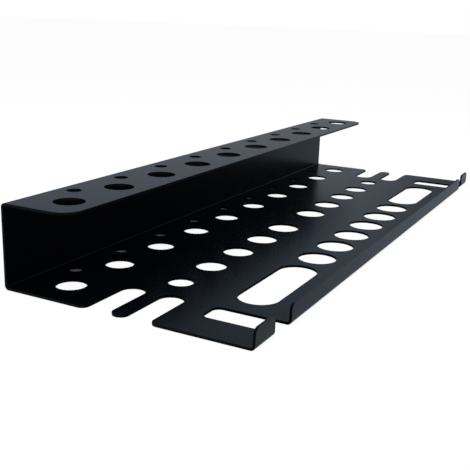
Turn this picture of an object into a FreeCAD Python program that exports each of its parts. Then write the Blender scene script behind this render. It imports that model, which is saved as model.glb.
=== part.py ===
import FreeCAD, Part
import math
import os

# Wall tool rack: one steel sheet, punched flat and then folded three times along its length.
# A narrow flange stands out over a wide panel, a web joins them at the wall, and the panel's
# front edge is turned up. Millimetres, X along the rack, +Y towards the wall, +Z up.
# The origin is the middle of the footprint, on the flat underside of the panel.

# Whole rack
rack_length = 600.0
rack_depth = 205.0
rack_height = 65.0
sheet = 2.0
bend_radius = 1.5  # inside radius of every fold

# Flange over the panel
flange_depth = 60.0
flange_corner_radius = 15.0

# Turned-up front edge: a long lip, and a short tab at each end
lip_height = 15.0
tab_height = 15.0
tab_width = 28.4
tab_setback = 2.0  # the tabs stand this far behind the lip
upstand_corner_radius = 5.0

# Fork slots, open to the front, that part the tabs from the lip
fork_slot_width = 21.8
fork_slot_depth = 57.5
fork_corner_radius = 6.0

# Pairs of slots open to each short edge, with a finger between the two
end_slot_width = 20.0
end_slot_depth = 52.7
finger_width = 12.7
finger_inset = 98.4  # from the wall to the finger's middle
mouth_corner_radius = 6.0

# Row of large holes, punched through flange and panel on the same axes
large_hole_diameter = 23.6
large_hole_pitch = 60.0
large_hole_end_margin = 30.0
large_hole_inset = 36.5  # from the wall

# Small holes between the large ones, nearer the wall
small_hole_diameter = 11.6
small_hole_inset = 16.4

# Middle row of the panel: sizes fall from the middle of the rack to its ends
middle_hole_diameters = (29.4, 27.6, 26.4, 25.6, 20.2)
middle_hole_start = 34.0  # from the rack's middle to the first hole on each side
middle_hole_pitch = 46.6
middle_hole_inset = 100.6

# Front row of the panel: round holes between two long slots
front_hole_diameter = 32.6
front_hole_pitch = 42.5
front_row_inset = 40.0  # from the front of the lip
long_slot_length = 101.0
long_slot_width = 32.0
long_slot_land = 16.5  # sheet left between a long slot and its fork slot

# Screw holes through the web, under the flange
screw_hole_diameter = 5.5
screw_hole_count = 4
screw_hole_spacing = 133.0
screw_hole_drop = 15.0  # below the top of the flange

least_land = 5.0  # narrowest strip of sheet left between two neighbours in a row
least_flat = 0.001  # a straight shorter than this is left out of an outline
overrun = 5.0  # cutters reach this far past the sheet

half_length = rack_length / 2
wall = rack_depth / 2
front = -rack_depth / 2
bend_reach = bend_radius + sheet  # from a flat's end to the outer face past its fold
tab_start = half_length - tab_width
lip_end = tab_start - fork_slot_width


def point(x, y, z=0.0):
    return FreeCAD.Vector(x, y, z)


def folded_section(first_flat, web_flat, panel_flat, upstand_flat):
    """Cross-section of the folded sheet, from the flange's front edge round to the upstand's top.

    The walk follows the outer face. Each fold turns it a quarter turn to the right, and the
    inner face runs one sheet to its right.
    """
    outer, inner = [], []
    here = point(0, wall - flange_depth, rack_height)
    heading = point(0, 1, 0)
    flats = (first_flat, web_flat, panel_flat, upstand_flat)
    for index, length in enumerate(flats):
        right = point(0, heading.z, -heading.y)
        there = here + heading * length
        outer.append(Part.LineSegment(here, there).toShape())
        inner.append(Part.LineSegment(here + right * sheet, there + right * sheet).toShape())
        if index == len(flats) - 1:
            break
        centre = there + right * bend_reach
        halfway = (heading - right) * math.sqrt(0.5)
        outer.append(arc(there, centre + halfway * bend_reach, centre + heading * bend_reach))
        inner.append(arc(there + right * sheet, centre + halfway * bend_radius,
                         centre + heading * bend_radius))
        here = centre + heading * bend_reach
        heading = right
    start_cap = Part.LineSegment(inner[0].Vertexes[0].Point, outer[0].Vertexes[0].Point).toShape()
    end_cap = Part.LineSegment(outer[-1].Vertexes[-1].Point, inner[-1].Vertexes[-1].Point).toShape()
    return Part.Face(Part.Wire([start_cap] + outer + [end_cap] + inner[::-1]))


def arc(start, middle, end):
    return Part.Arc(start, middle, end).toShape()


def folded_length(x_from, x_to, setback, upstand_height):
    """A length of folded sheet between two stations along the rack."""
    section = folded_section(flange_depth - bend_reach, rack_height - 2 * bend_reach,
                             rack_depth - setback - 2 * bend_reach, upstand_height - bend_reach)
    section.translate(point(x_from, 0))
    return section.extrude(point(x_to - x_from, 0))


def folded_sheet():
    """The folded blank: the lip's length in the middle and a tab's length at each end."""
    middle = folded_length(-tab_start, tab_start, 0.0, lip_height)
    ends = [folded_length(-half_length, -tab_start, tab_setback, tab_height),
            folded_length(tab_start, half_length, tab_setback, tab_height)]
    return middle.fuse(ends).removeSplitter()


def upright_hole(x, y, diameter):
    """Cutter for a round hole through the panel, and through the flange where that is above."""
    return Part.makeCylinder(diameter / 2, rack_height + 2 * overrun, point(x, y, -overrun))


def upright_slot(x_from, x_to, y_from, y_to, radius):
    """Cutter with a rounded rectangular plan. A radius of half the width rounds its ends fully."""
    radius = min(radius, (y_to - y_from) / 2)
    left, right = x_from + radius, x_to - radius
    low, high = y_from + radius, y_to - radius
    centres = (point(right, low), point(right, high), point(left, high), point(left, low))
    headings = (point(0, -1), point(1, 0), point(0, 1), point(-1, 0), point(0, -1))
    roundings = [arc(centre + start * radius, centre + (start + end) * (radius * math.sqrt(0.5)),
                     centre + end * radius)
                 for centre, start, end in zip(centres, headings, headings[1:])]
    outline = []
    for rounding, following in zip(roundings, roundings[1:] + roundings[:1]):
        outline.append(rounding)
        end, start = rounding.Vertexes[-1].Point, following.Vertexes[0].Point
        if end.distanceToPoint(start) > least_flat:
            outline.append(Part.LineSegment(end, start).toShape())
    plan = Part.Face(Part.Wire(outline))
    plan.translate(point(0, 0, -overrun))
    return plan.extrude(point(0, 0, rack_height + 2 * overrun))


def corner_cutter(corner, along, across, radius, depth):
    """Cutter that rounds a square corner of sheet.

    The two unit vectors point from the corner into the sheet. The cutter reaches the given
    depth to both sides of the corner, along the axis of the rounding.
    """
    axis = along.cross(across)
    centre = corner + (along + across) * radius
    start = corner + along * radius
    end = corner + across * radius
    rounding = arc(start, centre - (along + across) * (radius * math.sqrt(0.5)), end)
    outside = [end, end - along * overrun, corner - (along + across) * overrun,
               start - across * overrun, start]
    sides = [Part.LineSegment(a, b).toShape() for a, b in zip(outside, outside[1:])]
    profile = Part.Face(Part.Wire([rounding] + sides))
    profile.translate(axis * -depth)
    return profile.extrude(axis * (2 * depth))


def centred_row(count, pitch):
    return [(index - (count - 1) / 2) * pitch for index in range(count)]


def count_that_fits(room, pitch):
    """Number of holes whose centres span no more than the room."""
    return int(round(room / pitch, 6)) + 1


def wall_row_cutters():
    """Large and small holes that run through the flange and the panel below it."""
    count = count_that_fits(rack_length - 2 * large_hole_end_margin, large_hole_pitch)
    large = [upright_hole(x, wall - large_hole_inset, large_hole_diameter)
             for x in centred_row(count, large_hole_pitch)]
    small = [upright_hole(x, wall - small_hole_inset, small_hole_diameter)
             for x in centred_row(count - 1, large_hole_pitch)]
    return large + small


def middle_row_cutters():
    """Graded holes on both sides of the rack's middle, as far as the end slots leave room."""
    cutters = []
    furthest = half_length - end_slot_depth - least_land
    for index, diameter in enumerate(middle_hole_diameters):
        x = middle_hole_start + index * middle_hole_pitch
        if x + diameter / 2 <= furthest:
            cutters += [upright_hole(side * x, wall - middle_hole_inset, diameter)
                        for side in (-1, 1)]
    return cutters


def front_row_cutters():
    """Two long slots beside the fork slots, and round holes between them."""
    y = front + front_row_inset
    outer_end = lip_end - long_slot_land
    inner_end = outer_end - long_slot_length
    half_width = long_slot_width / 2
    slots = [upright_slot(inner_end, outer_end, y - half_width, y + half_width, half_width),
             upright_slot(-outer_end, -inner_end, y - half_width, y + half_width, half_width)]
    count = count_that_fits(2 * (inner_end - least_land) - front_hole_diameter, front_hole_pitch)
    return slots + [upright_hole(x, y, front_hole_diameter)
                    for x in centred_row(count, front_hole_pitch)]


def fork_slot_cutters():
    y_from = front - fork_corner_radius - overrun
    y_to = front + fork_slot_depth
    return [upright_slot(lip_end, tab_start, y_from, y_to, fork_corner_radius),
            upright_slot(-tab_start, -lip_end, y_from, y_to, fork_corner_radius)]


def end_slot_cutters():
    """Both slots of each short edge, with their mouths and the finger between them rounded."""
    cutters = []
    finger_y = wall - finger_inset
    across = point(0, 1)
    for side in (-1, 1):
        inward = point(-side, 0)
        edge = side * half_length
        floor = side * (half_length - end_slot_depth)
        beyond = edge + side * (end_slot_width + overrun)
        for shift in (-1, 1):
            inner_y = finger_y + shift * finger_width / 2
            outer_y = inner_y + shift * end_slot_width
            cutters.append(upright_slot(min(floor, beyond), max(floor, beyond),
                                        min(inner_y, outer_y), max(inner_y, outer_y),
                                        end_slot_width / 2))
            cutters.append(corner_cutter(point(edge, outer_y), inward, across * shift,
                                         mouth_corner_radius, overrun))
            cutters.append(corner_cutter(point(edge, inner_y), inward, across * -shift,
                                         finger_width / 2, overrun))
    return cutters


def flange_corner_cutters():
    return [corner_cutter(point(side * half_length, wall - flange_depth, rack_height),
                          point(-side, 0), point(0, 1), flange_corner_radius, overrun)
            for side in (-1, 1)]


def upstand_corner_cutters():
    """Rounded top corners of the lip and of both tabs."""
    cutters = []
    down = point(0, 0, -1)
    for side in (-1, 1):
        ends = ((lip_end, -side, 0.0, lip_height), (tab_start, side, tab_setback, tab_height),
                (half_length, -side, tab_setback, tab_height))
        for x, into, setback, height in ends:
            cutters.append(corner_cutter(point(side * x, front + setback, height), point(into, 0),
                                         down, upstand_corner_radius, 2 * sheet))
    return cutters


def screw_hole_cutters():
    """Plain holes for round-headed screws, driven into the wall from the front."""
    z = rack_height - screw_hole_drop
    return [Part.makeCylinder(screw_hole_diameter / 2, 2 * overrun,
                              point(x, wall - overrun, z), point(0, 1))
            for x in centred_row(screw_hole_count, screw_hole_spacing)]


def tool_rack():
    cutters = (wall_row_cutters() + middle_row_cutters() + front_row_cutters()
               + fork_slot_cutters() + end_slot_cutters() + flange_corner_cutters()
               + upstand_corner_cutters() + screw_hole_cutters())
    return folded_sheet().cut(cutters).removeSplitter()


os.makedirs("parts", exist_ok=True)
rack = tool_rack()
solid = rack.Solids[0]
print("solids", len(rack.Solids), "valid", rack.isValid(), "faces", len(solid.Faces))
print("volume", round(solid.Volume, 1), "box", solid.BoundBox)
solid.exportStep("parts/tool_rack.step")
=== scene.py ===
import math

import bmesh
import bpy
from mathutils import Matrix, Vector


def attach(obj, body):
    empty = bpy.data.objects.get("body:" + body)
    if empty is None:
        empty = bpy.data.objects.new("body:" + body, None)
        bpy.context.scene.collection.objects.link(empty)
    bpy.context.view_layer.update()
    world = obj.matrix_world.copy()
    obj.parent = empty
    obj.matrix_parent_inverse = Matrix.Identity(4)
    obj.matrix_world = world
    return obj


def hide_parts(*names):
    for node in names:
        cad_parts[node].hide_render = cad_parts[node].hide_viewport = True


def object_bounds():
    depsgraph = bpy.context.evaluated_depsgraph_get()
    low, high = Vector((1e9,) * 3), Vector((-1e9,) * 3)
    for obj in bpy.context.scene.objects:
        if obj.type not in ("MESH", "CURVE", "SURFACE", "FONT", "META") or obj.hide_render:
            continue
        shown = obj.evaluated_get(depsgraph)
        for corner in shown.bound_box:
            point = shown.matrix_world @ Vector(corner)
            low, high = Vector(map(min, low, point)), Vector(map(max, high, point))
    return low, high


# Wall tool rack: one punched and folded steel sheet in black powder coat, on a pale floor.
# Metres. X runs along the rack, +Y goes to the wall, +Z up, and the panel lies on z = 0.

MM = 0.001

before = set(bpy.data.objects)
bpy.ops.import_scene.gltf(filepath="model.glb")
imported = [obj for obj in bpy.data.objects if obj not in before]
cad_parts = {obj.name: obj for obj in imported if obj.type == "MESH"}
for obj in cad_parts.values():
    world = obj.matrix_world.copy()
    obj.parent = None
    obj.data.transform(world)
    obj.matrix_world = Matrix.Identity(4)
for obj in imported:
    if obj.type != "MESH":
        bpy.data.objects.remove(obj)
cad_low, cad_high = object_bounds()
middle = (cad_low + cad_high) / 2
scene = bpy.context.scene


def linear(hex_colour):
    """Linear RGBA from an sRGB hex value."""
    channels = [int(hex_colour[i:i + 2], 16) / 255 for i in (1, 3, 5)]
    return [c / 12.92 if c <= 0.04045 else ((c + 0.055) / 1.055) ** 2.4 for c in channels] + [1.0]


def add_node(tree, kind, links=None, inputs=None, **settings):
    """Adds a node with its settings and input values, and links other nodes' outputs into it."""
    node = tree.nodes.new(kind)
    for name, value in settings.items():
        setattr(node, name, value)
    for name, value in (inputs or {}).items():
        node.inputs[name].default_value = value
    for name, output in (links or {}).items():
        tree.links.new(output, node.inputs[name])
    return node


def new_material(name):
    material = bpy.data.materials.new(name)
    material.use_nodes = True
    material.node_tree.nodes.clear()
    return material


def new_object(name, shape, material):
    """Puts a finished bmesh into the scene as an object of one material."""
    mesh = bpy.data.meshes.new(name)
    shape.to_mesh(mesh)
    shape.free()
    mesh.materials.append(material)
    made = bpy.data.objects.new(name, mesh)
    scene.collection.objects.link(made)
    return made


# The coat

def satin_black_powder_coat():
    """Black polyester powder, sprayed on and baked over pressed steel.

    The eye sees a deep black that hardly scatters light. It turns grey only where a face is
    seen at a low angle and mirrors the room, and then softly, because the coat is satin.
    """
    material = new_material("satin_black_powder_coat")
    tree = material.node_tree
    place = add_node(tree, "ShaderNodeTexCoord").outputs["Object"]

    # The coat is a little thicker in some places, over a hand's width or less.
    thickness = add_node(tree, "ShaderNodeTexNoise", {"Vector": place},
                         {"Scale": 1 / (70 * MM), "Detail": 2.0, "Roughness": 0.5})
    tone = add_node(tree, "ShaderNodeValToRGB", {"Fac": thickness.outputs["Fac"]})
    tone.color_ramp.elements[0].position = 0.3
    tone.color_ramp.elements[0].color = linear("#010204")
    tone.color_ramp.elements[1].position = 0.7
    tone.color_ramp.elements[1].color = linear("#020306")

    # Orange peel left by the powder as it flowed out. The real waves are about 1 mm long, and
    # they are drawn 2.4 mm long, because finer ones fall between the pixels.
    peel = add_node(tree, "ShaderNodeTexNoise", {"Vector": place},
                    {"Scale": 1 / (2.4 * MM), "Detail": 2.0, "Roughness": 0.55})
    satin = add_node(tree, "ShaderNodeMapRange", {"Value": peel.outputs["Fac"]},
                     {"From Min": 0.3, "From Max": 0.7, "To Min": 0.24, "To Max": 0.3})
    relief = add_node(tree, "ShaderNodeBump", {"Height": peel.outputs["Fac"]},
                      {"Strength": 0.2, "Distance": 0.05 * MM})

    # Polyester has an IOR of 1.5. It is matched down to 1.13, because the room that the real
    # coat mirrors is much dimmer than this pale one.
    coat = add_node(tree, "ShaderNodeBsdfPrincipled",
                    {"Base Color": tone.outputs["Color"], "Roughness": satin.outputs["Result"],
                     "Normal": relief.outputs["Normal"]},
                    {"IOR": 1.13})
    add_node(tree, "ShaderNodeOutputMaterial", {"Surface": coat.outputs["BSDF"]})
    return material


# The folded sheet

def coated_sheet():
    """The folded sheet, with the small rounding that punching and the coat leave on cut edges."""
    # The CAD mesh is loose triangles. Its corners are merged, and each flat becomes one face.
    shape = bmesh.new()
    shape.from_mesh(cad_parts["tool_rack"].data)
    bmesh.ops.remove_doubles(shape, verts=shape.verts, dist=0.003 * MM)
    bmesh.ops.dissolve_limit(shape, angle_limit=math.radians(0.3),
                             verts=shape.verts, edges=shape.edges)
    for face in shape.faces:
        face.smooth = True
    sheet = new_object("coated_sheet", shape, satin_black_powder_coat())

    rounding = sheet.modifiers.new("cut_edges", "BEVEL")
    rounding.limit_method = "ANGLE"
    rounding.angle_limit = math.radians(40)
    rounding.width = 0.5 * MM
    rounding.segments = 2
    rounding.profile = 0.5
    rounding.material = -1

    # Flats stay flat to the light right up to the folds beside them.
    flats = sheet.modifiers.new("even_flats", "WEIGHTED_NORMAL")
    flats.mode = "FACE_AREA"
    flats.weight = 100
    flats.keep_sharp = True

    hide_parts("tool_rack")
    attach(sheet, "root")


coated_sheet()


# Floor, room and light

def as_seen(tree):
    """Tells what is seen apart from what only gives light, for the floor and for the room.

    The share is 1 for what the camera sees, directly or in a reflection, and 0 for the light
    that falls on things. The colour is white where it is seen directly, and the node's B where
    the coat mirrors it.
    """
    ray = add_node(tree, "ShaderNodeLightPath")
    mirrored = add_node(tree, "ShaderNodeMath", {0: ray.outputs["Is Glossy Ray"],
                                                 1: ray.outputs["Is Transmission Ray"]},
                        operation="MAXIMUM")
    share = add_node(tree, "ShaderNodeMath", {0: ray.outputs["Is Camera Ray"],
                                              1: mirrored.outputs["Value"]},
                     operation="MAXIMUM")
    colour = add_node(tree, "ShaderNodeMix", {"Factor": mirrored.outputs["Value"]},
                      data_type="RGBA")
    colour.inputs["A"].default_value = linear("#ffffff")
    return share.outputs["Value"], colour


def floor_paint(name):
    """White where it is seen directly. The coat mirrors the B of the node given back with it."""
    material = new_material(name)
    tree = material.node_tree
    share, colour = as_seen(tree)

    # Where it is seen, a tenth of it is still paint, which keeps the rack's faint shadow.
    glow_share = add_node(tree, "ShaderNodeMath", {0: share}, {1: 0.9}, operation="MULTIPLY")
    paint = add_node(tree, "ShaderNodeBsdfDiffuse", None, {"Color": linear("#f8f8f8")})
    glow = add_node(tree, "ShaderNodeEmission", {"Color": colour.outputs["Result"]},
                    {"Strength": 1.0})
    mixed = add_node(tree, "ShaderNodeMixShader", {0: glow_share.outputs["Value"],
                                                   1: paint.outputs["BSDF"],
                                                   2: glow.outputs["Emission"]})
    add_node(tree, "ShaderNodeOutputMaterial", {"Surface": mixed.outputs["Shader"]})
    return material, colour


def pale_floor():
    """Mirrored, it is palest by the rack's left end, dimmer to the right, and bluer past the end."""
    left_end, past_right_end = -0.3, 0.4
    material, colour = floor_paint("pale_floor")
    tree = material.node_tree
    place = add_node(tree, "ShaderNodeTexCoord").outputs["Object"]
    along = add_node(tree, "ShaderNodeSeparateXYZ", {"Vector": place}).outputs["X"]
    share_along = add_node(tree, "ShaderNodeMapRange", {"Value": along},
                           {"From Min": left_end, "From Max": past_right_end})

    # The two tones added between the ends lie at x = -0.21 and x = 0.25.
    tone = add_node(tree, "ShaderNodeValToRGB", {"Fac": share_along.outputs["Result"]})
    tone.color_ramp.elements[0].color = linear("#f0ffff")
    tone.color_ramp.elements[1].color = linear("#c8e0ff")
    tone.color_ramp.elements.new(0.13).color = linear("#cee2f6")
    tone.color_ramp.elements.new(0.79).color = linear("#bccedf")
    tree.links.new(tone.outputs["Color"], colour.inputs["B"])
    return material


def floor_in_shade():
    """Little light gets in under the rack, so the web mirrors the holes below it as dark."""
    material, colour = floor_paint("floor_in_shade")
    colour.inputs["B"].default_value = linear("#303336")
    return material


def grey_paint(name, grey):
    material = new_material(name)
    tree = material.node_tree
    paint = add_node(tree, "ShaderNodeBsdfDiffuse", None, {"Color": linear(grey)})
    add_node(tree, "ShaderNodeOutputMaterial", {"Surface": paint.outputs["BSDF"]})
    return material


def floor_piece(name, material, length, depth, y, drop):
    """A flat rectangle of floor, a little below the rack's underside."""
    shape = bmesh.new()
    bmesh.ops.create_grid(shape, x_segments=1, y_segments=1, size=0.5)
    bmesh.ops.scale(shape, verts=shape.verts, vec=(length, depth, 1))
    bmesh.ops.translate(shape, verts=shape.verts, vec=(0, y, cad_low.z - drop))
    new_object(name, shape, material)


def floor_and_shade():
    """A pale floor, and the shade under the rack as two flat pieces just above it."""
    floor_side = 24.0  # far past the rack on every side
    margin = 2 * MM  # keeps the shade inside the rack's outline
    strip = 22 * MM  # covers the row of small holes
    size = cad_high - cad_low
    length, depth = size.x - 2 * margin, size.y - 2 * margin
    floor_piece("floor", pale_floor(), floor_side, floor_side, y=0.0, drop=0.1 * MM)
    floor_piece("floor_under_rack", floor_in_shade(), length, depth, y=middle.y, drop=0.075 * MM)

    # Beside the web it is darkest, and that shows through the small holes.
    floor_piece("floor_beside_web", grey_paint("floor_in_deep_shade", "#707070"), length, strip,
                y=cad_high.y - margin - strip / 2, drop=0.05 * MM)


def white_room():
    """A room that is white where it is seen directly, and toned where the coat mirrors it."""
    world = bpy.data.worlds.new("white_room")
    world.use_nodes = True
    tree = world.node_tree
    tree.nodes.clear()
    share, colour = as_seen(tree)

    # Mirrored, the room gets brighter and bluer from 7 to 19 degrees above the floor.
    direction = add_node(tree, "ShaderNodeTexCoord").outputs["Generated"]
    parts = add_node(tree, "ShaderNodeSeparateXYZ", {"Vector": direction}).outputs
    by_height = add_node(tree, "ShaderNodeValToRGB", {"Fac": parts["Z"]})
    by_height.color_ramp.elements[0].position = 0.13
    by_height.color_ramp.elements[0].color = linear("#b9bbc3")
    by_height.color_ramp.elements[1].position = 0.32
    by_height.color_ramp.elements[1].color = linear("#c6ddf6")

    # It is dimmer past both ends of the rack, so there the panel mirrors less than the lip.
    sideways = add_node(tree, "ShaderNodeMath", {0: parts["Y"]}, operation="ABSOLUTE")
    by_end = add_node(tree, "ShaderNodeMapRange", {"Value": sideways.outputs["Value"]},
                      {"From Min": 0.195, "From Max": 0.297, "To Min": 0.41, "To Max": 1.0})
    mirrored = add_node(tree, "ShaderNodeVectorMath", {0: by_height.outputs["Color"],
                                                       "Scale": by_end.outputs["Result"]},
                        operation="SCALE")
    tree.links.new(mirrored.outputs["Vector"], colour.inputs["B"])

    # It gives things a little less light than it shows.
    level = add_node(tree, "ShaderNodeMapRange", {"Value": share}, {"To Min": 0.8, "To Max": 1.0})
    sky = add_node(tree, "ShaderNodeBackground", {"Strength": level.outputs["Result"],
                                                  "Color": colour.outputs["Result"]})
    add_node(tree, "ShaderNodeOutputWorld", {"Surface": sky.outputs["Background"]})
    scene.world = world


def softbox(name, place, aim, size, watts):
    """A square lamp, turned towards the point that it aims at."""
    light = bpy.data.lights.new(name, "AREA")
    light.shape = "SQUARE"
    light.size = size
    light.energy = watts
    lamp = bpy.data.objects.new(name, light)
    scene.collection.objects.link(lamp)
    lamp.location = place
    lamp.rotation_euler = (aim - place).to_track_quat("-Z", "Y").to_euler()


def camera():
    """The photograph's view, worked out from the rims of the holes and the sheet's edges."""
    lens = bpy.data.cameras.new("camera")
    lens.sensor_width = 36.0
    lens.lens = 59.226
    lens.clip_start = 0.01
    lens.clip_end = 100.0
    eye = bpy.data.objects.new("camera", lens)
    eye.location = (-0.69195, -0.28705, 0.19782)
    eye.rotation_euler = [math.radians(a) for a in (74.0413, -1.8853, -62.0654)]
    scene.collection.objects.link(eye)
    scene.camera = eye


floor_and_shade()
white_room()
softbox("key_softbox", place=Vector((-0.5, -0.4, 1.6)), aim=middle, size=1.2, watts=18.0)
camera()
scene.view_settings.view_transform = "Standard"
